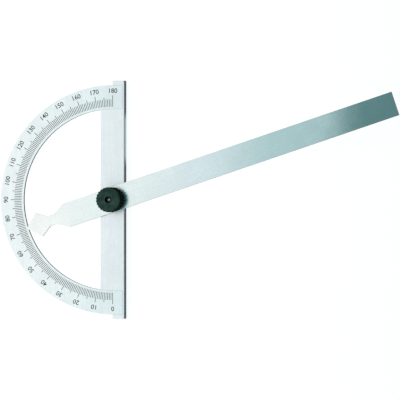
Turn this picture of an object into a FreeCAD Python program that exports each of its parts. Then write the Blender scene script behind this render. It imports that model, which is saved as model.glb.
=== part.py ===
import FreeCAD, Part
import math
import os

# Workshop protractor with an open graduated arc, lying on its back with the scale face up.
# Millimetres. The origin is on the pivot axis, in the underside plane. The rail runs along Y,
# the arc stands on the rail's -X side and the blade's arm points towards +X.

# Rail: a flat bar with a bevelled working edge on its +X side.
rail_overhang = 3.0  # past the arc's outer edge at each end
rail_width = 16.0
rail_thickness = 6.0
edge_bevel_width = 0.5
edge_bevel_depth = 0.5

# Arc: a half ring with a straight lug at each end, let in flush with the rail's face.
arc_outer_radius = 75.0
arc_band_width = 15.5
arc_thickness = 3.0
lug_land = 1.0  # rail face left between a lug and the bevel
lap_gap = 0.05  # round a lug in its recess
tongue_inset = 1.0  # the rail's -X half stops this far inside the arc's outer edge

# Rivets: two in each lug, flush on both faces.
rivet_diameter = 2.5
rivet_head_diameter = 4.0
rivet_head_depth = 0.75
rivet_edge_distance = 3.2  # from a lug's free end and from the arc's inner edge
rivet_spacing = 5.6
rivet_gap = 0.02

# Blade: a flat arm on one side of the pivot and a necked arrowhead pointer on the other.
blade_length = 196.5  # from the pivot to the square end
blade_width = 16.0
blade_thickness = 2.0
blade_reading = 71.5  # degrees that the pointer shows at rest
tip_overlap = 0.5  # how far the tip reaches over the arc's inner edge
head_length = 8.5  # from the tip back to the barbs
barb_length = 7.0  # from the barbs back to the neck
neck_length = 3.5
neck_width = 6.6
shoulder_length = 8.5  # from the neck back to the full width
shoulder_sag = 0.5  # how far the shoulder curves in from a straight line

# Pivot stud: flush countersunk head, square neck in the rail, journal in the blade, thread.
stud_head_diameter = 10.0
stud_head_depth = 2.0
stud_square_width = 6.0
journal_diameter = 6.0
journal_gap = 0.03  # running clearance round the journal
journal_drop = 0.1  # the journal stops this far below the blade's face
thread_diameter = 4.0
thread_pitch = 0.7
thread_gap = 0.05  # clearance between the stud's thread and the insert's
thread_flats_width = 3.4  # across the stud's two flats
stud_seat_gap = 0.02
stud_end_depth = 3.5  # from the knob's top down to the stud's end

# Washers.
washer_diameter = 11.0
washer_thickness = 0.8
washer_key_gap = 0.05
wave_diameter = 10.0
wave_strip_thickness = 0.3
wave_height = 0.6  # pressed nearly flat by the clamped knob
wave_count = 3
wave_bore_gap = 0.25
wave_play = 0.02  # axial clearance at the crests and troughs

# Knob: a ribbed plastic body round a hexagonal brass insert.
knob_diameter = 16.4
knob_height = 14.0
knob_lift = 0.3  # from the blade's face to the skirt
knob_top_chamfer = 0.9
knob_skirt_chamfer = 0.4
rib_count = 24
flute_radius = 0.75
flute_depth = 0.5
skirt_recess_gap = 0.5  # round the washers
eye_gap = 0.2  # round the stud, above the insert
insert_across_flats = 7.0
insert_height = 9.0
insert_waist_diameter = 6.0
insert_waist_height = 2.0

# Places worked out from the sizes above.
arc_inner_radius = arc_outer_radius - arc_band_width
rail_length = 2 * (arc_outer_radius + rail_overhang)
lug_reach = rail_width / 2 - edge_bevel_width - lug_land
face_z = rail_thickness
blade_top_z = face_z + blade_thickness
washer_top_z = blade_top_z + washer_thickness
knob_seat_z = washer_top_z + wave_height
knob_bottom_z = blade_top_z + knob_lift
knob_top_z = knob_bottom_z + knob_height
stud_top_z = knob_top_z - stud_end_depth
stud_end_chamfer = thread_pitch / 2  # takes off the first half turn of thread
pointer_reach = arc_inner_radius + tip_overlap
thread_radius = thread_diameter / 2
stud_thread_radius = thread_radius - thread_gap
all_through = 2 * knob_top_z

UP = FreeCAD.Vector(0, 0, 1)


def point(x, y, z=0.0):
    return FreeCAD.Vector(x, y, z)


def box(x_low, x_high, y_low, y_high, z_low, z_high):
    return Part.makeBox(x_high - x_low, y_high - y_low, z_high - z_low, point(x_low, y_low, z_low))


def cylinder(radius, z_low, z_high, x=0.0, y=0.0):
    return Part.makeCylinder(radius, z_high - z_low, point(x, y, z_low))


def cone(radius_low, radius_high, z_low, z_high, x=0.0, y=0.0):
    return Part.makeCone(radius_low, radius_high, z_high - z_low, point(x, y, z_low))


def plate(outline_edges, z_low, z_high):
    """A flat plate with the given closed outline."""
    face = Part.Face(Part.Wire(outline_edges))
    solid = face.extrude(UP * (z_high - z_low))
    solid.translate(UP * z_low)
    return solid


def line(start, end):
    return Part.LineSegment(start, end).toShape()


def arc(start, middle, end):
    return Part.Arc(start, middle, end).toShape()


def turned(profile):
    """A solid turned about the pivot axis from (radius, z) corners."""
    corners = [point(radius, 0, z) for radius, z in profile]
    face = Part.Face(Part.makePolygon(corners + corners[:1]))
    return face.revolve(point(0, 0), UP, 360)


def save(shape, name):
    """Writes one piece, after a check that its solids are sound."""
    for solid in shape.Solids:
        if not solid.isValid() or solid.Volume <= 0:
            raise ValueError(name + " is not a sound solid")
    shape.exportStep("parts/" + name + ".step")
    print(name, len(shape.Solids), "solid(s)", round(shape.Volume, 1), "mm3")


def arc_outline(grow):
    """The half ring and its two lugs, grown all round by a clearance."""
    outer = arc_outer_radius + grow
    inner = arc_inner_radius - grow
    reach = lug_reach + grow
    return [
        arc(point(0, outer), point(-outer, 0), point(0, -outer)),
        line(point(0, -outer), point(reach, -outer)),
        line(point(reach, -outer), point(reach, -inner)),
        line(point(reach, -inner), point(0, -inner)),
        arc(point(0, -inner), point(-inner, 0), point(0, inner)),
        line(point(0, inner), point(reach, inner)),
        line(point(reach, inner), point(reach, outer)),
        line(point(reach, outer), point(0, outer)),
    ]


def rivet_places():
    """The middle of each rivet, two in each lug."""
    x = lug_reach - rivet_edge_distance
    near = arc_inner_radius + rivet_edge_distance
    return [(x, side * y) for side in (-1, 1) for y in (near, near + rivet_spacing)]


def rivet(x, y, grow):
    """One rivet, set flush on both faces, or its hole when grown by a clearance."""
    shank = cylinder(rivet_diameter / 2 + grow, 0, face_z, x, y)
    head_radius = rivet_head_diameter / 2 + grow
    shank_radius = rivet_diameter / 2 + grow
    lower_head = cone(head_radius, shank_radius, 0, rivet_head_depth, x, y)
    upper_head = cone(shank_radius, head_radius, face_z - rivet_head_depth, face_z, x, y)
    return shank.fuse([lower_head, upper_head]).removeSplitter()


def rivet_holes():
    return Part.makeCompound([rivet(x, y, rivet_gap) for x, y in rivet_places()])


def stud_seat(grow):
    """The stud's countersunk head and square neck, or their seat when grown by a clearance."""
    half_square = stud_square_width / 2 + grow
    head_radius = stud_head_diameter / 2 + grow
    head = cone(head_radius, head_radius - stud_head_depth, 0, stud_head_depth)
    neck = box(-half_square, half_square, -half_square, half_square, 0, face_z)
    return head.fuse(neck).removeSplitter()


def make_rail():
    half_length = rail_length / 2
    half_width = rail_width / 2
    bar = box(-half_width, half_width, -half_length, half_length, 0, rail_thickness)
    # The ends are cut back to the 0 to 180 degree line, which leaves a tongue on the +X half.
    cut_back = arc_outer_radius - tongue_inset
    for side in (-1, 1):
        y_low, y_high = sorted((side * cut_back, side * rail_length))
        bar = bar.cut(box(-rail_width, 0, y_low, y_high, -1, all_through))
    bevel_corners = [
        point(half_width - edge_bevel_width, -rail_length, rail_thickness),
        point(half_width, -rail_length, rail_thickness - edge_bevel_depth),
        point(rail_width, -rail_length, rail_thickness - edge_bevel_depth),
        point(rail_width, -rail_length, 2 * rail_thickness),
        point(half_width - edge_bevel_width, -rail_length, 2 * rail_thickness),
    ]
    bevel = Part.Face(Part.makePolygon(bevel_corners + bevel_corners[:1]))
    bar = bar.cut(bevel.extrude(point(0, 2 * rail_length)))
    recess = plate(arc_outline(lap_gap), face_z - arc_thickness, all_through)
    bar = bar.cut(recess)
    bar = bar.cut(stud_seat(stud_seat_gap))
    return bar.cut(rivet_holes()).removeSplitter()


def make_arc_plate():
    ring = plate(arc_outline(0), face_z - arc_thickness, face_z)
    return ring.cut(rivet_holes()).removeSplitter()


def make_arc_rivets():
    return Part.makeCompound([rivet(x, y, 0) for x, y in rivet_places()])


def shoulder_middle(side, wide, narrow):
    """The middle of the concave curve from the blade's full width to the neck."""
    middle = (wide + narrow) * 0.5
    slope = (narrow - wide).normalize()
    inward = point(-slope.y, slope.x) * side
    return middle + inward * shoulder_sag


def make_blade():
    """Drawn with the arm along +X and the pointer along -X, then turned to its reading."""
    half_width = blade_width / 2
    half_neck = neck_width / 2
    barbs = pointer_reach - head_length
    neck_end = barbs - barb_length
    neck_start = neck_end - neck_length
    full_width_end = neck_start - shoulder_length
    tip = point(-pointer_reach, 0)

    def pointer_side(side):
        """The corners from the tip back to the full width, on the +Y or the -Y side."""
        return [
            point(-barbs, side * half_width),
            point(-neck_end, side * half_neck),
            point(-neck_start, side * half_neck),
            point(-full_width_end, side * half_width),
        ]

    edges = []
    for side in (1, -1):
        barb, neck_front, neck_back, full = pointer_side(side)
        curve_middle = shoulder_middle(side, full, neck_back)
        edges += [line(tip, barb), line(barb, neck_front), line(neck_front, neck_back)]
        edges.append(arc(neck_back, curve_middle, full))
        edges.append(line(full, point(blade_length, side * half_width)))
    edges.append(line(point(blade_length, half_width), point(blade_length, -half_width)))
    flat = plate(Part.sortEdges(edges)[0], face_z, blade_top_z)
    flat = flat.cut(cylinder(journal_diameter / 2 + journal_gap, 0, all_through))
    flat.rotate(point(0, 0), UP, 90 - blade_reading)
    return flat


def two_flats(radius, width, z_low, z_high):
    """A round bar with two flats, square to X."""
    return cylinder(radius, z_low, z_high).common(box(-width / 2, width / 2, -radius, radius, z_low, z_high))


def make_pivot_stud():
    journal_top_z = blade_top_z - journal_drop
    journal = cylinder(journal_diameter / 2, face_z, journal_top_z)
    thread_end_z = stud_top_z - stud_end_chamfer
    keyed = two_flats(stud_thread_radius, thread_flats_width, journal_top_z, washer_top_z)
    thread = cylinder(stud_thread_radius, washer_top_z, thread_end_z)
    end = cone(stud_thread_radius, stud_thread_radius - stud_end_chamfer, thread_end_z, stud_top_z)
    return stud_seat(0).fuse([journal, keyed, thread, end]).removeSplitter()


def make_pressure_washer():
    disc = cylinder(washer_diameter / 2, blade_top_z, washer_top_z)
    key_radius = thread_radius + washer_key_gap
    key_width = thread_flats_width + 2 * washer_key_gap
    return disc.cut(two_flats(key_radius, key_width, 0, all_through))


def wave_rim(radius, z_middle):
    """One closed edge of the wave washer: a circle that rises and falls wave_count times."""
    swing = (wave_height - wave_strip_thickness) / 2 - wave_play
    steps = 12 * wave_count
    places = []
    for step in range(steps):
        angle = 2 * math.pi * step / steps
        height = z_middle + swing * math.cos(wave_count * angle)
        places.append(point(radius * math.cos(angle), radius * math.sin(angle), height))
    curve = Part.BSplineCurve()
    curve.interpolate(Points=places, PeriodicFlag=True)
    return curve.toShape()


def make_wave_washer():
    z_middle = (washer_top_z + knob_seat_z) / 2
    low = z_middle - wave_strip_thickness / 2
    high = z_middle + wave_strip_thickness / 2
    bore = thread_radius + wave_bore_gap
    inner_low = wave_rim(bore, low)
    inner_high = wave_rim(bore, high)
    outer_low = wave_rim(wave_diameter / 2, low)
    outer_high = wave_rim(wave_diameter / 2, high)
    faces = [
        Part.makeRuledSurface(inner_low, outer_low),
        Part.makeRuledSurface(inner_high, outer_high),
        Part.makeRuledSurface(inner_low, inner_high),
        Part.makeRuledSurface(outer_low, outer_high),
    ]
    shell = Part.makeShell(faces)
    shell.sewShape()
    solid = Part.makeSolid(shell)
    if solid.Volume < 0:
        solid.reverse()
    return solid


def insert_blank():
    """The insert's outside: a hexagon with a waist that the plastic grips."""
    top_z = knob_seat_z + insert_height
    corner_radius = insert_across_flats / math.sqrt(3)
    corners = []
    for step in range(6):
        angle = math.radians(60 * step)
        corners.append(point(corner_radius * math.cos(angle), corner_radius * math.sin(angle), knob_seat_z))
    hexagon = Part.Face(Part.makePolygon(corners + corners[:1])).extrude(UP * insert_height)
    waist_low = (knob_seat_z + top_z - insert_waist_height) / 2
    waist_high = waist_low + insert_waist_height
    groove = cylinder(2 * corner_radius, waist_low, waist_high)
    groove = groove.cut(cylinder(insert_waist_diameter / 2, waist_low, waist_high))
    return hexagon.cut(groove)


def make_knob_insert():
    return insert_blank().cut(cylinder(thread_radius, 0, all_through))


def make_knob_body():
    radius = knob_diameter / 2
    recess_radius = washer_diameter / 2 + skirt_recess_gap
    eye_radius = thread_radius + eye_gap
    body = turned([
        (recess_radius, knob_bottom_z),
        (radius - knob_skirt_chamfer, knob_bottom_z),
        (radius, knob_bottom_z + knob_skirt_chamfer),
        (radius, knob_top_z - knob_top_chamfer),
        (radius - knob_top_chamfer, knob_top_z),
        (eye_radius, knob_top_z),
        (eye_radius, knob_seat_z),
        (recess_radius, knob_seat_z),
    ])
    flute_middle = radius + flute_radius - flute_depth
    flutes = []
    for step in range(rib_count):
        angle = 2 * math.pi * step / rib_count
        x = flute_middle * math.cos(angle)
        y = flute_middle * math.sin(angle)
        flutes.append(cylinder(flute_radius, 0, all_through, x, y))
    return body.cut(Part.makeCompound(flutes)).cut(insert_blank())


os.makedirs("parts", exist_ok=True)
save(make_rail(), "rail")
save(make_arc_plate(), "arc_plate")
save(make_arc_rivets(), "arc_rivets")
save(make_blade(), "blade")
save(make_pivot_stud(), "pivot_stud")
save(make_pressure_washer(), "pressure_washer")
save(make_wave_washer(), "wave_washer")
save(make_knob_body(), "knob_body")
save(make_knob_insert(), "knob_insert")
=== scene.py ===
import bpy
import bmesh
import math
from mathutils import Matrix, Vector


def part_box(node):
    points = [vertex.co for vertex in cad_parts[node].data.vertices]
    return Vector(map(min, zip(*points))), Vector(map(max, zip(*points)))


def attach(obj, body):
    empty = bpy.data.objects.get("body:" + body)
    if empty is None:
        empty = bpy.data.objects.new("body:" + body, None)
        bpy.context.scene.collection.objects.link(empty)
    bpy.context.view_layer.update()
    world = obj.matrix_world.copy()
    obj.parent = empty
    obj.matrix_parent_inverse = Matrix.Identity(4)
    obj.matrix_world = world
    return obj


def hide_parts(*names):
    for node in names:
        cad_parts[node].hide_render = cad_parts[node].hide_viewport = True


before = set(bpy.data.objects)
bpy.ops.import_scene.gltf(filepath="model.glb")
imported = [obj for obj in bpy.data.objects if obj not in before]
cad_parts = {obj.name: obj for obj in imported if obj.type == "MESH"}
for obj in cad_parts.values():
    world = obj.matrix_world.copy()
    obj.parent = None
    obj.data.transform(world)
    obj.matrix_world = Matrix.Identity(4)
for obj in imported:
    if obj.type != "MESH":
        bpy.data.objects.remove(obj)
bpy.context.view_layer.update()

mm = 0.001
railLow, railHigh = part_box("rail")
knobLow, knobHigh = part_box("knob_body")
insertLow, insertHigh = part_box("knob_insert")
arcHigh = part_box("arc_plate")[1]
faceZ = railHigh.z          # the scale face
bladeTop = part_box("blade")[1].z
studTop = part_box("pivot_stud")[1].z
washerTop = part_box("pressure_washer")[1].z
print("frame loaded")


# small helpers for working in edit mode

def clearSelection():
    if bpy.context.object and bpy.context.object.mode == "EDIT":
        bpy.ops.object.mode_set(mode="OBJECT")
    bpy.ops.object.select_all(action="DESELECT")


def startPiece(name, size=(1, 1, 1)):
    piece = bpy.context.object  # the primitive that was just added
    piece.name = name
    piece.data.name = name
    piece.scale = size
    bpy.ops.object.transform_apply(location=True, rotation=True, scale=True)
    return piece


def addBlock(name, low, high):
    clearSelection()
    low, high = Vector(low), Vector(high)
    bpy.ops.mesh.primitive_cube_add(size=1, location=(low + high) / 2)
    return startPiece(name, high - low)


def addDrum(name, radius, low, high, sides, place=(0, 0), turn=0.0):
    clearSelection()
    bpy.ops.mesh.primitive_cylinder_add(vertices=sides, radius=radius, depth=high - low,
                                        location=(place[0], place[1], (low + high) / 2),
                                        rotation=(0, 0, turn))
    return startPiece(name)


def editPiece(piece):
    clearSelection()
    piece.select_set(True)
    bpy.context.view_layer.objects.active = piece
    bpy.ops.object.mode_set(mode="EDIT")
    bpy.ops.mesh.select_mode(type="FACE")
    bpy.ops.mesh.select_all(action="DESELECT")


def pickFaces(piece, wanted):
    bpy.ops.mesh.select_mode(type="FACE")
    bpy.ops.mesh.select_all(action="DESELECT")
    mesh = bmesh.from_edit_mesh(piece.data)
    mesh.normal_update()
    for face in mesh.faces:
        face.select_set(bool(wanted(face.calc_center_median(), face.normal)))
    bmesh.update_edit_mesh(piece.data)


def pickEdges(piece, wanted):
    bpy.ops.mesh.select_mode(type="EDGE")
    bpy.ops.mesh.select_all(action="DESELECT")
    mesh = bmesh.from_edit_mesh(piece.data)
    for edge in mesh.edges:
        middle = (edge.verts[0].co + edge.verts[1].co) / 2
        along = (edge.verts[1].co - edge.verts[0].co).normalized()
        edge.select_set(bool(wanted(middle, along)))
    bmesh.update_edit_mesh(piece.data)


def pullFaces(x=0.0, y=0.0, z=0.0):
    bpy.ops.mesh.extrude_region_move(TRANSFORM_OT_translate={"value": (x, y, z)})


def sliceOff(place, direction):
    bpy.ops.mesh.select_all(action="SELECT")
    bpy.ops.mesh.bisect(plane_co=place, plane_no=Vector(direction).normalized(), use_fill=True,
                        clear_outer=True, threshold=0.001 * mm)


def addLoop(place, direction):
    bpy.ops.mesh.select_all(action="SELECT")
    bpy.ops.mesh.bisect(plane_co=place, plane_no=direction, threshold=0.001 * mm)


def spinCopies(steps, angle):
    bpy.ops.mesh.select_all(action="SELECT")
    bpy.ops.mesh.spin(steps=steps, dupli=True, angle=angle, center=(0, 0, 0), axis=(0, 0, 1))


def facesOut():
    bpy.ops.mesh.select_all(action="SELECT")
    bpy.ops.mesh.remove_doubles(threshold=0.000002)
    bpy.ops.mesh.normals_make_consistent(inside=False)
    bpy.ops.object.mode_set(mode="OBJECT")


def applyModifier(piece, modifier):
    clearSelection()
    piece.select_set(True)
    bpy.context.view_layer.objects.active = piece
    bpy.ops.object.modifier_apply(modifier=modifier.name)


def carve(piece, cutter, operation="DIFFERENCE", tangled=False):
    modifier = piece.modifiers.new("carve", "BOOLEAN")
    modifier.operation = operation
    modifier.solver = "EXACT"
    modifier.use_self = tangled
    modifier.object = cutter
    applyModifier(piece, modifier)
    bpy.data.objects.remove(cutter)


def joinPieces(name, pieces):
    clearSelection()
    for piece in pieces:
        piece.select_set(True)
    bpy.context.view_layer.objects.active = pieces[0]
    bpy.ops.object.join()
    pieces[0].name = name
    return pieces[0]


def breakEdges(piece, width, segments=2, angle=35):
    modifier = piece.modifiers.new("edges", "BEVEL")
    modifier.width = width
    modifier.segments = segments
    modifier.limit_method = "ANGLE"
    modifier.angle_limit = math.radians(angle)
    applyModifier(piece, modifier)


def smoothPiece(piece, angle=40):
    clearSelection()
    piece.select_set(True)
    bpy.context.view_layer.objects.active = piece
    bpy.ops.object.shade_smooth_by_angle(angle=math.radians(angle))
    modifier = piece.modifiers.new("flats", "WEIGHTED_NORMAL")
    modifier.keep_sharp = True
    applyModifier(piece, modifier)


def finishPiece(piece, body, material, replaced=()):
    piece.data.materials.clear()
    piece.data.materials.append(material)
    if replaced:
        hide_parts(*replaced)
    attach(piece, body)
    print(piece.name, "done,", len(piece.data.polygons), "faces")


# finishes

def newMaterial(name):
    material = bpy.data.materials.new(name)
    material.use_nodes = True
    nodes = material.node_tree.nodes
    return material, nodes, material.node_tree.links, nodes["Principled BSDF"]


def placedPattern(nodes, links, stretch=(1, 1, 1), turn=0.0):
    coordinates = nodes.new("ShaderNodeTexCoord")
    mapping = nodes.new("ShaderNodeMapping")
    mapping.vector_type = "TEXTURE"  # turned first, then stretched along the turned axes
    mapping.inputs["Scale"].default_value = [1 / each for each in stretch]
    mapping.inputs["Rotation"].default_value = (0, 0, turn)
    links.new(coordinates.outputs["Object"], mapping.inputs["Vector"])
    return mapping.outputs["Vector"]


def noiseField(nodes, links, vector, scale, detail=3.0, roughness=0.5):
    noise = nodes.new("ShaderNodeTexNoise")
    noise.inputs["Scale"].default_value = scale
    noise.inputs["Detail"].default_value = detail
    noise.inputs["Roughness"].default_value = roughness
    links.new(vector, noise.inputs["Vector"])
    return noise.outputs["Fac"]


def rangeOf(nodes, links, value, low, high, fromLow=0.0, fromHigh=1.0):
    mapped = nodes.new("ShaderNodeMapRange")
    mapped.inputs["From Min"].default_value = fromLow
    mapped.inputs["From Max"].default_value = fromHigh
    mapped.inputs["To Min"].default_value = low
    mapped.inputs["To Max"].default_value = high
    links.new(value, mapped.inputs["Value"])
    return mapped.outputs["Result"]


def workOut(nodes, links, operation, *values):
    step = nodes.new("ShaderNodeMath")
    step.operation = operation
    for place, value in zip(step.inputs, values):
        if isinstance(value, (int, float)):
            place.default_value = value
        else:
            links.new(value, place)
    return step.outputs[0]


def mixTints(nodes, links, share, first, second, blend="MIX"):
    mix = nodes.new("ShaderNodeMix")
    mix.data_type = "RGBA"
    mix.blend_type = blend
    if isinstance(share, float):
        mix.inputs["Factor"].default_value = share
    else:
        links.new(share, mix.inputs["Factor"])
    for socket, tint in (("A", first), ("B", second)):
        place = [each for each in mix.inputs if each.name == socket and each.type == "RGBA"][0]
        if isinstance(tint, tuple):
            place.default_value = tint
        else:
            links.new(tint, place)
    return [each for each in mix.outputs if each.type == "RGBA"][0]


def shaded(tint, share):
    return tuple(channel * share for channel in tint[:3]) + (1,)


chrome = {
    "railTint": (0.925, 0.93, 0.955, 1),
    "arcTint": (0.89, 0.935, 0.955, 1),
    "bladeTint": (0.93, 0.945, 0.94, 1),
    "blueShare": (0.975, 0.955, 1.0, 1),  # patches where the plating looks a little bluer
    "wallShadeTint": (0.008, 0.020, 0.026, 1),    # painted shade on the side walls
    "wallReflectionTint": (0.50, 0.60, 0.64, 1),     # painted reflection on a stretch of the wall
    "railRoughness": 0.26,
    "arcRoughness": 0.32,
    "bladeRoughness": 0.14,
    "grainDepth": 0.10,
    "cloudSize": 75.0,
    "speckSize": 900.0,
    "shadowPlace": 3.6 * mm,               # painted shadow of the knob on the chrome, centred this far along x
    "shadowRadius": 7.4 * mm,
    "shadowTint": (0.40, 0.86, 0.85, 1),
    "shadowStrength": 0.75,
    "reflectionFrom": 26 * mm,                # the stretch of the rail's wall with a painted reflection
    "reflectionTo": 62 * mm,
    "railGrain": math.radians(90),        # the way each piece was ground
    "bladeGrain": math.radians(18.5),
}


def pivotDistance(nodes, links, vector, aside=0.0):
    split = nodes.new("ShaderNodeSeparateXYZ")
    links.new(vector, split.inputs["Vector"])
    across = workOut(nodes, links, "SUBTRACT", split.outputs["X"], aside)
    return workOut(nodes, links, "SQRT", workOut(
        nodes, links, "ADD", workOut(nodes, links, "POWER", across, 2.0),
        workOut(nodes, links, "POWER", split.outputs["Y"], 2.0))), split


def satinChrome(name, tint, roughness, grainTurn, reflectionFrom=1.0, reflectionTo=1.1, lineShare=0.88):
    material, nodes, links, shader = newMaterial(name)
    shader.inputs["Metallic"].default_value = 1
    plain = placedPattern(nodes, links)
    grain = noiseField(nodes, links, placedPattern(nodes, links, (90, 5000, 600), grainTurn), 1.0, 4.0, 0.6)
    lines = noiseField(nodes, links, placedPattern(nodes, links, (18, 900, 100), grainTurn), 1.0, 2.0, 0.5)
    cloudy = noiseField(nodes, links, plain, chrome["cloudSize"], 4.0, 0.6)
    drift = noiseField(nodes, links, placedPattern(nodes, links, (1, 1, 1), 0.6), 130.0, 2.0, 0.5)
    speckle = noiseField(nodes, links, plain, chrome["speckSize"], 2.0, 0.6)
    surface = mixTints(nodes, links, rangeOf(nodes, links, cloudy, 0, 1, 0.30, 0.72), tint,
                       shaded(tint, 0.91))
    surface = mixTints(nodes, links, rangeOf(nodes, links, drift, 0, 1, 0.45, 0.65), surface,
                       chrome["blueShare"], "MULTIPLY")
    surface = mixTints(nodes, links, rangeOf(nodes, links, speckle, 0, 0.7, 0.45, 0.8), surface,
                       shaded(tint, 0.80))
    surface = mixTints(nodes, links, rangeOf(nodes, links, lines, 0, 1, 0.42, 0.75), surface,
                       shaded(tint, lineShare))
    surface = mixTints(nodes, links, rangeOf(nodes, links, grain, 0, 0.8, 0.45, 0.8), surface,
                       shaded(tint, 0.86))
    # a painted teal shadow of the knob beside it, its rim uneven
    reach, split = pivotDistance(nodes, links, plain, chrome["shadowPlace"])
    ragged = workOut(nodes, links, "MULTIPLY_ADD", cloudy, 2 * mm, reach)
    knobShadow = rangeOf(nodes, links, ragged, chrome["shadowStrength"], 0.0,
                   chrome["shadowRadius"], chrome["shadowRadius"] + 2 * mm)
    surface = mixTints(nodes, links, knobShadow, surface, chrome["shadowTint"], "MULTIPLY")
    # painted shade: the side walls are darker than the ground faces, apart from a stretch with a painted
    # reflection
    normal = nodes.new("ShaderNodeNewGeometry")
    tilted = nodes.new("ShaderNodeSeparateXYZ")
    links.new(normal.outputs["True Normal"], tilted.inputs["Vector"])
    upright = workOut(nodes, links, "ABSOLUTE", tilted.outputs["Z"])
    # painted reflection: a brighter stretch of the wall along y
    along = workOut(nodes, links, "MULTIPLY_ADD", cloudy, 8 * mm, split.outputs["Y"])
    reflectedStretch = workOut(nodes, links, "MULTIPLY",
                     rangeOf(nodes, links, along, 0, 0.8, reflectionFrom, reflectionFrom + 6 * mm),
                     rangeOf(nodes, links, along, 1, 0, reflectionTo - 6 * mm, reflectionTo))
    wall = mixTints(nodes, links, reflectedStretch, chrome["wallShadeTint"], chrome["wallReflectionTint"])
    finished = mixTints(nodes, links, rangeOf(nodes, links, upright, 0, 1, 0.4, 0.85), wall, surface)
    links.new(finished, shader.inputs["Base Color"])
    smudged = rangeOf(nodes, links, cloudy, roughness - 0.03, roughness + 0.05, 0.3, 0.7)
    streaked = workOut(nodes, links, "MULTIPLY_ADD", grain, 0.05, smudged)
    wallDull = rangeOf(nodes, links, upright, 0.25, 0.0, 0.15, 0.5)
    links.new(workOut(nodes, links, "ADD", streaked, wallDull), shader.inputs["Roughness"])
    bump = nodes.new("ShaderNodeBump")
    bump.inputs["Strength"].default_value = chrome["grainDepth"]
    bump.inputs["Distance"].default_value = 0.02 * mm
    links.new(grain, bump.inputs["Height"])
    links.new(bump.outputs["Normal"], shader.inputs["Normal"])
    return material


railFinish = satinChrome("railChrome", chrome["railTint"], chrome["railRoughness"], chrome["railGrain"],
                         chrome["reflectionFrom"], chrome["reflectionTo"])
arcFinish = satinChrome("arcChrome", chrome["arcTint"], chrome["arcRoughness"], chrome["railGrain"])
bladeFinish = satinChrome("bladeChrome", chrome["bladeTint"], chrome["bladeRoughness"],
                          chrome["bladeGrain"], lineShare=0.92)


turned = {
    "studTint": (0.30, 0.37, 0.35, 1),
    "springTint": (0.42, 0.43, 0.44, 1),
    "brassTint": (0.80, 0.62, 0.32, 1),
    "eyeShadeTint": (0.02, 0.03, 0.028, 1),    # painted shade in the knob's eye, round the stud's end
    "studShadeDepth": 0.8 * mm,                  # how far down from the end the painted shade reaches
    # the same painted shade on the brass insert's top
    "brassShadeDepth": 0.6 * mm,
    "spotRadius": 0.45 * mm,            # the middle keeps its own colour out to here, left as a bright spot
    "eyeShadeRadius": 0.85 * mm,
}


def turnedMetal(name, tint, roughness, darkShare=0.75, eyeShadeFrom=None):
    # lathe rings round the pivot axis, with a few dull spots
    material, nodes, links, shader = newMaterial(name)
    shader.inputs["Metallic"].default_value = 1
    plain = placedPattern(nodes, links)
    reach, split = pivotDistance(nodes, links, plain)
    rings = nodes.new("ShaderNodeCombineXYZ")
    links.new(reach, rings.inputs["X"])
    links.new(split.outputs["Z"], rings.inputs["Z"])
    lathe = noiseField(nodes, links, rings.outputs["Vector"], 9000.0, 3.0, 0.6)
    spots = noiseField(nodes, links, plain, 700.0, 3.0)
    surface = mixTints(nodes, links, rangeOf(nodes, links, spots, 0, 1, 0.45, 0.75), tint,
                       shaded(tint, darkShare))
    if eyeShadeFrom is not None:
        # painted shade on the end above this level, left off in the middle as a bright spot
        above = rangeOf(nodes, links, split.outputs["Z"], 0, 1, eyeShadeFrom, eyeShadeFrom + 0.3 * mm)
        around = rangeOf(nodes, links, reach, 0, 1, turned["spotRadius"], turned["eyeShadeRadius"])
        surface = mixTints(nodes, links, workOut(nodes, links, "MULTIPLY", above, around), surface,
                           turned["eyeShadeTint"])
    links.new(surface, shader.inputs["Base Color"])
    smudged = rangeOf(nodes, links, spots, roughness - 0.06, roughness + 0.1)
    links.new(workOut(nodes, links, "MULTIPLY_ADD", lathe, 0.15, smudged), shader.inputs["Roughness"])
    bump = nodes.new("ShaderNodeBump")
    bump.inputs["Strength"].default_value = 0.12
    bump.inputs["Distance"].default_value = 0.02 * mm
    links.new(lathe, bump.inputs["Height"])
    links.new(bump.outputs["Normal"], shader.inputs["Normal"])
    return material


studFinish = turnedMetal("studSteel", turned["studTint"], 0.30, eyeShadeFrom=studTop - turned["studShadeDepth"])
springFinish = turnedMetal("springSteel", turned["springTint"], 0.34)
brassFinish = turnedMetal("insertBrass", turned["brassTint"], 0.26, 0.7,
                          insertHigh.z - turned["brassShadeDepth"])


def scalePaint(name):
    # black filling of the strokes and numerals, a little uneven
    material, nodes, links, shader = newMaterial(name)
    patchy = noiseField(nodes, links, placedPattern(nodes, links), 2500.0, 2.0)
    links.new(mixTints(nodes, links, patchy, (0.006, 0.010, 0.010, 1), (0.03, 0.04, 0.04, 1)),
              shader.inputs["Base Color"])
    links.new(rangeOf(nodes, links, patchy, 0.45, 0.7), shader.inputs["Roughness"])
    shader.inputs["Specular IOR Level"].default_value = 0.25
    return material


scaleFill = scalePaint("scaleBlack")


plastic = {
    "topTint": (0.011, 0.036, 0.026, 1),     # handled and dusty
    "dustTint": (0.044, 0.078, 0.067, 1),
    "sideShadeTint": (0.0005, 0.0035, 0.0025, 1),  # painted shade on the sides, between and on the ribs
    "grainSize": 1600.0,
    "gloss": 0.14,
    "density": 1.3,             # index of refraction
}


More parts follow.
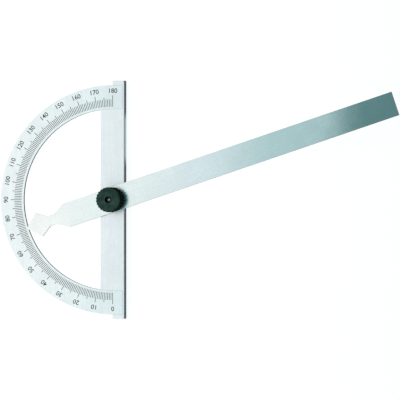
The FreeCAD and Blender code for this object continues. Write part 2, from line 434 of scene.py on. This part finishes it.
def ribbedPlastic(name):
    material, nodes, links, shader = newMaterial(name)
    plain = placedPattern(nodes, links)
    mould = noiseField(nodes, links, plain, plastic["grainSize"], 3.0)
    dust = noiseField(nodes, links, plain, 260.0, 4.0, 0.65)
    normal = nodes.new("ShaderNodeNewGeometry")
    split = nodes.new("ShaderNodeSeparateXYZ")
    links.new(normal.outputs["Normal"], split.inputs["Vector"])
    # painted shade: faces that do not face up get the much darker side tint
    facingUp = rangeOf(nodes, links, split.outputs["Z"], 0, 1, 0.25, 0.8)
    handled = mixTints(nodes, links, rangeOf(nodes, links, dust, 0, 1, 0.4, 0.72), plastic["topTint"],
                       plastic["dustTint"])
    links.new(mixTints(nodes, links, facingUp, plastic["sideShadeTint"], handled), shader.inputs["Base Color"])
    links.new(workOut(nodes, links, "ADD", rangeOf(nodes, links, mould, 0.44, 0.62),
                      rangeOf(nodes, links, facingUp, 0.38, 0.0)), shader.inputs["Roughness"])
    shader.inputs["Specular IOR Level"].default_value = plastic["gloss"]
    shader.inputs["IOR"].default_value = plastic["density"]
    bump = nodes.new("ShaderNodeBump")
    bump.inputs["Strength"].default_value = 0.2
    bump.inputs["Distance"].default_value = 0.05 * mm
    links.new(mould, bump.inputs["Height"])
    links.new(bump.outputs["Normal"], shader.inputs["Normal"])
    return material


knobFinish = ribbedPlastic("knobBlack")
print("finishes ready")


# rail

rail = {
    "bevelWidth": 0.5 * mm,
    "bevelDepth": 0.5 * mm,
    "tongueInset": 1.0 * mm,    # the half beside the arc stops this far inside the arc's edge
    "lapGap": 0.05 * mm,
    "seatGap": 0.02 * mm,
    "edgeBreak": 0.12 * mm,
}

arc = {
    "bandWidth": 15.5 * mm,
    "thickness": 3.0 * mm,
    "edgeBreak": 0.10 * mm,
    "steps": 180,
}
arcOuter = arcHigh.y
arcInner = arcOuter - arc["bandWidth"]
lugReach = arcHigh.x

rivet = {
    "shankRadius": 1.25 * mm,
    "headRadius": 2.0 * mm,
    "headDepth": 0.75 * mm,
    "edgeDistance": 3.2 * mm,
    "spacing": 5.6 * mm,
    "gap": 0.02 * mm,
}


def arcBlank(name, grow, low, high):
    # the band's section stands on the 180 degree line, is spun round to 0, and its ends are pulled into lugs
    inner, outer = arcInner - grow, arcOuter + grow
    clearSelection()
    bpy.ops.mesh.primitive_plane_add(size=1, location=(0, (inner + outer) / 2, (low + high) / 2),
                                     rotation=(0, math.pi / 2, 0))
    blank = startPiece(name, (high - low, outer - inner, 1))
    editPiece(blank)
    bpy.ops.mesh.select_all(action="SELECT")
    bpy.ops.mesh.spin(steps=arc["steps"], angle=-math.pi, center=(0, 0, 0), axis=(0, 0, 1))
    bpy.ops.mesh.select_all(action="SELECT")
    bpy.ops.mesh.normals_make_consistent(inside=False)
    pickFaces(blank, lambda middle, normal: abs(middle.x) < 0.01 * mm and abs(normal.x) > 0.9)
    pullFaces(x=lugReach + grow)
    facesOut()
    return blank


def rivetCutter(grow):
    pieces = []
    shank, head, depth = rivet["shankRadius"] + grow, rivet["headRadius"] + grow, rivet["headDepth"]
    for side in (-1, 1):
        for step in (0, 1):
            place = (lugReach - rivet["edgeDistance"],
                     side * (arcInner + rivet["edgeDistance"] + step * rivet["spacing"]))
            cutter = addDrum("rivetCutter", shank, -1 * mm, faceZ + 1 * mm, 32, place)
            editPiece(cutter)
            for level in (0, depth, faceZ - depth, faceZ):
                addLoop((0, 0, level), (0, 0, 1))
            for low, high in ((-2 * mm, 0.01 * mm), (faceZ - 0.01 * mm, faceZ + 2 * mm)):
                mesh = bmesh.from_edit_mesh(cutter.data)
                bpy.ops.mesh.select_mode(type="VERT")
                for corner in mesh.verts:
                    corner.select_set(low < corner.co.z < high)
                mesh.select_flush_mode()
                bmesh.update_edit_mesh(cutter.data)
                bpy.ops.transform.resize(value=(head / shank, head / shank, 1),
                                         center_override=(place[0], place[1], 0))
            facesOut()
            pieces.append(cutter)
    return joinPieces("rivetCutter", pieces)


stud = {
    "headRadius": 5.0 * mm,
    "headDepth": 2.0 * mm,
    "squareWidth": 6.0 * mm,
    "journalRadius": 3.0 * mm,
    "journalDrop": 0.1 * mm,
    "threadRadius": 1.95 * mm,
    "threadDepth": 0.38 * mm,
    "pitch": 0.7 * mm,
    "flatsWidth": 3.4 * mm,
    "endChamfer": 0.35 * mm,
    "edgeBreak": 0.08 * mm,
}


def studHead(grow, low):
    # a drum whose top rim is drawn in to the countersink's foot
    radius = stud["headRadius"] + grow
    head = addDrum("studHead", radius, low, stud["headDepth"], 64)
    editPiece(head)
    if low < 0:
        addLoop((0, 0, 0), (0, 0, 1))
    pickFaces(head, lambda middle, normal: normal.z > 0.9 and middle.z > 1 * mm)
    share = (radius - stud["headDepth"]) / radius
    bpy.ops.transform.resize(value=(share, share, 1), center_override=(0, 0, 0))
    facesOut()
    return head


def buildRail():
    cutBack = arcOuter - rail["tongueInset"]
    bar = addBlock("railBar", (railLow.x, -cutBack, 0), (railHigh.x, cutBack, faceZ))
    editPiece(bar)
    addLoop((0, 0, 0), (1, 0, 0))
    for side in (-1, 1):  # the tongue past each end
        pickFaces(bar, lambda middle, normal: middle.x > 0 and normal.y * side > 0.9)
        pullFaces(y=side * (railHigh.y - cutBack))
    corner = (railHigh.x - rail["bevelWidth"], 0, faceZ)
    sliceOff(corner, (rail["bevelDepth"], 0, rail["bevelWidth"]))
    facesOut()
    breakEdges(bar, rail["edgeBreak"])
    recess = arcBlank("lapCutter", rail["lapGap"], faceZ - arc["thickness"], faceZ + 2 * mm)
    carve(bar, recess)
    carve(bar, rivetCutter(rivet["gap"]))
    carve(bar, studHead(rail["seatGap"], -1 * mm))
    half = stud["squareWidth"] / 2 + rail["seatGap"]
    carve(bar, addBlock("studSeat", (-half, -half, -1 * mm), (half, half, faceZ + 1 * mm)))
    smoothPiece(bar, 32)
    finishPiece(bar, "stock", railFinish, ["rail"])
    return bar


railBar = buildRail()


# graduated arc

marks = {
    "start": 60.9 * mm,        # radius where the strokes begin
    "oneEnd": 65.8 * mm,
    "fiveEnd": 67.2 * mm,
    "tenEnd": 68.4 * mm,
    "strokeWidth": 0.36 * mm,
    "cutDepth": 0.08 * mm,
    "fillDepth": 0.02 * mm,    # the filling's top lies this far below the face
    "numberRadius": 71.3 * mm,
    "numberHeight": 2.9 * mm,
    "numberWeight": 0.05 * mm,  # how much the numerals are thickened all round
}


def allStrokes(low, high):
    sets = []
    half = marks["strokeWidth"] / 2
    for name, end, places in (
            ("oneDegree", marks["oneEnd"], [d for d in range(181) if d % 5]),
            ("fiveDegree", marks["fiveEnd"], [d for d in range(181) if d % 5 == 0 and d % 10]),
            ("tenDegree", marks["tenEnd"], [d for d in range(181) if d % 10 == 0])):
        for reading in places:
            turn = math.radians(180 - reading)
            middle = (marks["start"] + end) / 2
            clearSelection()
            bpy.ops.mesh.primitive_cube_add(
                size=1, location=(-middle * math.sin(turn), middle * math.cos(turn), (low + high) / 2),
                rotation=(0, 0, turn))
            sets.append(startPiece(name, (2 * half, end - marks["start"], high - low)))
    return joinPieces("strokes", sets)


def allNumbers(low, high):
    numbers = []
    for reading in range(0, 181, 10):
        clearSelection()
        bpy.ops.object.text_add(location=(0, 0, 0))
        label = bpy.context.object
        label.data.body = str(reading)
        label.data.align_x = "CENTER"
        label.data.align_y = "CENTER"
        label.data.size = marks["numberHeight"] / 0.69
        label.data.extrude = (high - low) / 2
        label.data.offset = marks["numberWeight"]
        label.data.resolution_u = 3
        bpy.ops.object.convert(target="MESH")
        label = bpy.context.object
        turn = math.radians(180 - reading)
        label.location = (-marks["numberRadius"] * math.sin(turn), marks["numberRadius"] * math.cos(turn),
                          (low + high) / 2)
        label.rotation_euler = (0, 0, turn)
        bpy.ops.object.transform_apply(location=True, rotation=True, scale=True)
        editPiece(label)
        facesOut()
        numbers.append(label)
    return joinPieces("numbers", numbers)


def buildArc():
    plate = arcBlank("arcPlate", 0, faceZ - arc["thickness"], faceZ)
    breakEdges(plate, arc["edgeBreak"])
    carve(plate, rivetCutter(rivet["gap"]))
    carve(plate, allNumbers(faceZ - marks["cutDepth"], faceZ + 1 * mm), tangled=True)
    carve(plate, allStrokes(faceZ - marks["cutDepth"], faceZ + 1 * mm))
    smoothPiece(plate, 32)
    finishPiece(plate, "stock", arcFinish, ["arc_plate"])
    fillLow, fillHigh = faceZ - marks["cutDepth"], faceZ - marks["fillDepth"]
    strokes = allStrokes(fillLow, fillHigh)
    strokes.name = "scaleStrokes"
    finishPiece(strokes, "stock", scaleFill)
    numbers = allNumbers(fillLow, fillHigh)
    numbers.name = "scaleNumbers"
    finishPiece(numbers, "stock", scaleFill)
    return plate


arcPlate = buildArc()


# blade with its arrowhead pointer

blade = {
    "reading": 71.5,           # degrees shown at rest
    "length": 196.5 * mm,
    "width": 16.0 * mm,
    "tip": 60.0 * mm,
    "headLength": 8.5 * mm,
    "barbLength": 7.0 * mm,
    "neckLength": 3.5 * mm,
    "neckWidth": 6.6 * mm,
    "shoulderLength": 8.5 * mm,
    "shoulderSag": 0.5 * mm,
    "shoulderSteps": 8,
    "boreRadius": 3.03 * mm,
    "edgeBreak": 0.10 * mm,
}


def buildBlade():
    halfWidth = blade["width"] / 2
    barbs = blade["tip"] - blade["headLength"]
    neckEnd = barbs - blade["barbLength"]
    neckStart = neckEnd - blade["neckLength"]
    fullWidth = neckStart - blade["shoulderLength"]
    arm = addBlock("bladeArm", (-fullWidth, -halfWidth, faceZ), (blade["length"], halfWidth, bladeTop))
    editPiece(arm)

    def growPointer(distance, width):
        # pulls the end face out to a distance from the pivot and gives it a new width
        mesh = bmesh.from_edit_mesh(arm.data)
        reached = min(corner.co.x for corner in mesh.verts)
        pickFaces(arm, lambda middle, normal: abs(middle.x - reached) < 0.005 * mm and normal.x < -0.9)
        mesh = bmesh.from_edit_mesh(arm.data)
        now = 2 * max(abs(corner.co.y) for corner in mesh.verts if corner.select)
        pullFaces(x=-distance - reached)
        bpy.ops.transform.resize(value=(1, width / now, 1), center_override=(-distance, 0, faceZ))

    steps = blade["shoulderSteps"]
    for step in range(1, steps + 1):
        part = step / steps
        straight = blade["width"] + (blade["neckWidth"] - blade["width"]) * part
        sag = 2 * blade["shoulderSag"] * 4 * part * (1 - part)
        growPointer(fullWidth + blade["shoulderLength"] * part, straight - sag)
    growPointer(neckEnd, blade["neckWidth"])
    growPointer(barbs, blade["width"])
    growPointer(blade["tip"], 0.00002 * mm)
    facesOut()
    carve(arm, addDrum("boreCutter", blade["boreRadius"], faceZ - 1 * mm, bladeTop + 1 * mm, 64))
    breakEdges(arm, blade["edgeBreak"])
    arm.rotation_euler = (0, 0, math.radians(90 - blade["reading"]))
    clearSelection()
    arm.select_set(True)
    bpy.context.view_layer.objects.active = arm
    bpy.ops.object.transform_apply(location=True, rotation=True, scale=True)
    smoothPiece(arm)
    finishPiece(arm, "blade", bladeFinish, ["blade"])
    return arm


bladeArm = buildBlade()


# clamping knob

knob = {
    "ribs": 24,
    "fluteRadius": 0.75 * mm,
    "fluteDepth": 0.5 * mm,
    "topChamfer": 0.9 * mm,
    "skirtChamfer": 0.4 * mm,
    "recessRadius": 6.0 * mm,
    "eyeRadius": 2.2 * mm,
    "edgeBreak": 0.12 * mm,
}


def buildKnob():
    radius = knobHigh.x
    body = addDrum("clampKnob", radius, knobLow.z, knobHigh.z, 144)
    editPiece(body)
    for top, chamfer in ((True, knob["topChamfer"]), (False, knob["skirtChamfer"])):
        level = knobHigh.z if top else knobLow.z
        pickEdges(body, lambda middle, along: abs(middle.z - level) < 0.01 * mm and abs(along.z) < 0.1)
        bpy.ops.mesh.bevel(offset=chamfer, segments=3 if top else 1, affect="EDGES", profile=0.5)
    facesOut()
    fluteMiddle = radius + knob["fluteRadius"] - knob["fluteDepth"]
    flute = addDrum("fluteCutter", knob["fluteRadius"], knobLow.z - 1 * mm, knobHigh.z + 1 * mm, 20,
                    (fluteMiddle, 0))
    editPiece(flute)
    spinCopies(knob["ribs"] - 1, math.radians(360 - 360 / knob["ribs"]))
    facesOut()
    carve(body, flute)
    carve(body, addDrum("eyeCutter", knob["eyeRadius"], knobLow.z - 1 * mm, knobHigh.z + 1 * mm, 48))
    carve(body, addDrum("recessCutter", knob["recessRadius"], knobLow.z - 1 * mm, insertLow.z, 64))
    hexRadius = insertHigh.x
    carve(body, addDrum("insertCutter", hexRadius, insertLow.z - 0.01 * mm, insertHigh.z, 6,
                        turn=math.radians(30)))
    breakEdges(body, knob["edgeBreak"], angle=28)
    smoothPiece(body, 35)
    finishPiece(body, "knob", knobFinish, ["knob_body"])
    return body


clampKnob = buildKnob()


# pivot stud and the knob's insert, both with the thread

def threadedRod(name, grow, low, high):
    # one pitch of the profile, wound up the axis by a screw modifier and trimmed square at both ends
    pitch = stud["pitch"]
    crest, root = stud["threadRadius"] + grow, stud["threadRadius"] + grow - stud["threadDepth"]
    clearSelection()
    bpy.ops.mesh.primitive_plane_add(size=pitch, location=(root, 0, low - 1.5 * pitch),
                                     rotation=(math.pi / 2, 0, 0))
    rod = startPiece(name)
    editPiece(rod)
    pickEdges(rod, lambda middle, along: middle.x > root)
    bpy.ops.mesh.subdivide(number_cuts=3)
    mesh = bmesh.from_edit_mesh(rod.data)
    spare = [corner for corner in mesh.verts if corner.co.x < root]
    bmesh.ops.delete(mesh, geom=spare, context="VERTS")
    profile = sorted(mesh.verts, key=lambda corner: corner.co.z)
    for corner, reach, rise in zip(profile, (root, root, crest, crest, root), (0, 0.14, 0.50, 0.64, 1)):
        corner.co = (reach, 0, low - 2 * pitch + rise * pitch)
    bmesh.update_edit_mesh(rod.data)
    bpy.ops.object.mode_set(mode="OBJECT")
    winding = rod.modifiers.new("winding", "SCREW")
    winding.axis = "Z"
    winding.steps = 36
    winding.render_steps = 36
    winding.screw_offset = pitch
    winding.iterations = math.ceil((high - low) / pitch) + 4
    winding.use_merge_vertices = True
    winding.merge_threshold = 0.001 * mm
    applyModifier(rod, winding)
    editPiece(rod)
    sliceOff((0, 0, high), (0, 0, 1))
    sliceOff((0, 0, low), (0, 0, -1))
    facesOut()
    return rod


def buildStud():
    head = studHead(0, 0)
    half = stud["squareWidth"] / 2
    carve(head, addBlock("neck", (-half, -half, 1 * mm), (half, half, faceZ)), "UNION")
    journalTop = bladeTop - stud["journalDrop"]
    carve(head, addDrum("journal", stud["journalRadius"], faceZ - 1 * mm, journalTop, 64), "UNION")
    breakEdges(head, stud["edgeBreak"])
    # the part in the pressure washer has two flats, the rest is threaded and its end chamfered
    keyed = addDrum("keyed", stud["threadRadius"], faceZ, washerTop, 48)
    editPiece(keyed)
    for side in (-1, 1):
        sliceOff((side * stud["flatsWidth"] / 2, 0, 0), (side, 0, 0))
    facesOut()
    carve(head, keyed, "UNION")
    thread = threadedRod("thread", 0, washerTop - 0.2 * mm, studTop)
    blank = addDrum("blank", stud["threadRadius"] + 0.01 * mm, faceZ, studTop, 48)
    editPiece(blank)
    pickFaces(blank, lambda middle, normal: normal.z > 0.9)
    bpy.ops.mesh.bevel(offset=stud["endChamfer"], segments=1, affect="EDGES")
    facesOut()
    carve(thread, blank, "INTERSECT")
    carve(head, thread, "UNION")
    head.name = "pivotStud"
    smoothPiece(head, 30)
    finishPiece(head, "stock", studFinish, ["pivot_stud"])
    return head


insert = {
    "waistRadius": 3.0 * mm,
    "waistHeight": 2.0 * mm,
    "threadGap": 0.05 * mm,
    "edgeBreak": 0.12 * mm,
}


def buildInsert():
    nut = addDrum("knobInsert", insertHigh.x, insertLow.z, insertHigh.z, 6, turn=math.radians(30))
    breakEdges(nut, insert["edgeBreak"])
    middle = (insertLow.z + insertHigh.z) / 2
    low, high = middle - insert["waistHeight"] / 2, middle + insert["waistHeight"] / 2
    groove = addDrum("groove", insertHigh.x * 2, low, high, 48)
    carve(groove, addDrum("waist", insert["waistRadius"], low - 1 * mm, high + 1 * mm, 48))
    carve(nut, groove)
    bore = threadedRod("bore", insert["threadGap"], insertLow.z - 0.5 * mm, insertHigh.z + 0.5 * mm)
    carve(nut, bore)
    smoothPiece(nut, 30)
    finishPiece(nut, "knob", brassFinish, ["knob_insert"])
    return nut


pivotStud = buildStud()
knobInsert = buildInsert()


def dress(node, material):
    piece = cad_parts[node]
    piece.data.materials.clear()
    piece.data.materials.append(material)


dress("arc_rivets", arcFinish)
dress("pressure_washer", studFinish)
dress("wave_washer", springFinish)
print("carried pieces dressed")


# studio

studio = {
    "floorSize": 6.0,
    "floorTint": (0.86, 0.88, 0.88, 1),
    "floorShare": 0.32,        # how much of the floor's brightness is lit, the rest is its own white
    "floorGlow": 1.28,
    "paleColor": (0.66, 0.72, 0.73, 1),      # the room on the arc's side
    "dimColor": (0.107, 0.233, 0.237, 1),    # the room on the arm's side and overhead
    "worldStrength": 1.0,
    "softboxLow": -0.50,       # from here to softboxHigh along the x axis
    "softboxHigh": 0.1256,
    "softboxWide": 0.8,
    "softboxHeight": 0.20,
    "softboxPower": 1.53,
    "softboxStops": (          # its front fades towards the arm's end
        (-0.090, (0.98, 0.88, 0.85, 1)),
        (-0.0565, (0.84, 0.812, 0.787, 1)),
        (-0.0166, (0.80, 0.773, 0.767, 1)),
        (0.0093, (0.712, 0.704, 0.728, 1)),
        (0.0435, (0.586, 0.620, 0.641, 1)),
        (0.072, (0.370, 0.448, 0.459, 1)),
        (0.122, (0.345, 0.420, 0.430, 1))),
}


def addFloor():
    clearSelection()
    bpy.ops.mesh.primitive_plane_add(size=studio["floorSize"], location=(0, 0, railLow.z - 0.1 * mm))
    floor = bpy.context.object
    floor.name = "studioFloor"
    material, nodes, links, shader = newMaterial("floorWhite")
    nodes.remove(shader)
    lit = nodes.new("ShaderNodeBsdfDiffuse")
    lit.inputs["Color"].default_value = studio["floorTint"]
    white = nodes.new("ShaderNodeEmission")
    white.inputs["Strength"].default_value = studio["floorGlow"]
    rays = nodes.new("ShaderNodeLightPath")
    seen = workOut(nodes, links, "MAXIMUM", rays.outputs["Is Camera Ray"], rays.outputs["Is Glossy Ray"])
    seen = workOut(nodes, links, "MAXIMUM", seen, rays.outputs["Is Transmission Ray"])
    mix = nodes.new("ShaderNodeMixShader")
    links.new(workOut(nodes, links, "MULTIPLY", seen, 1 - studio["floorShare"]), mix.inputs["Fac"])
    links.new(lit.outputs["BSDF"], mix.inputs[1])
    links.new(white.outputs["Emission"], mix.inputs[2])
    links.new(mix.outputs["Shader"], nodes["Material Output"].inputs["Surface"])
    floor.data.materials.append(material)


def addWorld():
    # pale on the arc's side, dim on the arm's side and overhead
    world = bpy.data.worlds.new("studioWorld")
    bpy.context.scene.world = world
    world.use_nodes = True
    nodes, links = world.node_tree.nodes, world.node_tree.links
    background = nodes["Background"]
    background.inputs["Strength"].default_value = studio["worldStrength"]
    coordinates = nodes.new("ShaderNodeTexCoord")
    split = nodes.new("ShaderNodeSeparateXYZ")
    links.new(coordinates.outputs["Generated"], split.inputs["Vector"])
    height = rangeOf(nodes, links, split.outputs["Z"], 0, 1, 0.45, 0.85)
    armSide = rangeOf(nodes, links, split.outputs["X"], 0, 1, -0.5, 0.4)
    dim = workOut(nodes, links, "MAXIMUM", height, armSide)
    links.new(mixTints(nodes, links, dim, studio["paleColor"], studio["dimColor"]),
              background.inputs["Color"])


def addSoftbox():
    low, high = studio["softboxLow"], studio["softboxHigh"]
    bpy.ops.object.light_add(type="AREA", location=((low + high) / 2, 0, studio["softboxHeight"]))
    softbox = bpy.context.object
    softbox.name = "softbox"
    softbox.visible_camera = False
    softbox.data.shape = "RECTANGLE"
    softbox.data.size = high - low
    softbox.data.size_y = studio["softboxWide"]
    softbox.data.energy = studio["softboxPower"]
    softbox.data.use_nodes = True
    nodes, links = softbox.data.node_tree.nodes, softbox.data.node_tree.links
    place = nodes.new("ShaderNodeNewGeometry")
    split = nodes.new("ShaderNodeSeparateXYZ")
    links.new(place.outputs["Parametric"], split.inputs["Vector"])
    ramp = nodes.new("ShaderNodeValToRGB")
    links.new(split.outputs["X"], ramp.inputs["Fac"])
    stops = [((place - low) / (high - low), tint) for place, tint in studio["softboxStops"]]
    for element, stop in zip(ramp.color_ramp.elements, (stops[0], stops[-1])):
        element.position, element.color = stop
    for place, tint in stops[1:-1]:
        ramp.color_ramp.elements.new(place).color = tint
    links.new(ramp.outputs["Color"], nodes["Emission"].inputs["Color"])


addFloor()
addWorld()
addSoftbox()

# camera

camera = {
    "tilt": math.radians(9.5),
    "distance": 2.5,
    "frameWidth": 0.26269,
    "centre": (0.05625, -0.00017),
}


def addCamera():
    tilt = camera["tilt"]
    data = bpy.data.cameras.new("camera")
    data.sensor_width = 36
    data.lens = data.sensor_width * camera["distance"] / camera["frameWidth"]
    viewer = bpy.data.objects.new("camera", data)
    bpy.context.collection.objects.link(viewer)
    across = Vector((math.cos(tilt), 0, -math.sin(tilt)))
    back = Vector((math.sin(tilt), 0, math.cos(tilt)))
    place = across * camera["centre"][0] + Vector((0, camera["centre"][1], 0))
    viewer.location = place + back * camera["distance"]
    viewer.rotation_euler = (0, tilt, 0)
    bpy.context.scene.camera = viewer


addCamera()
bpy.context.scene.view_settings.view_transform = "Standard"
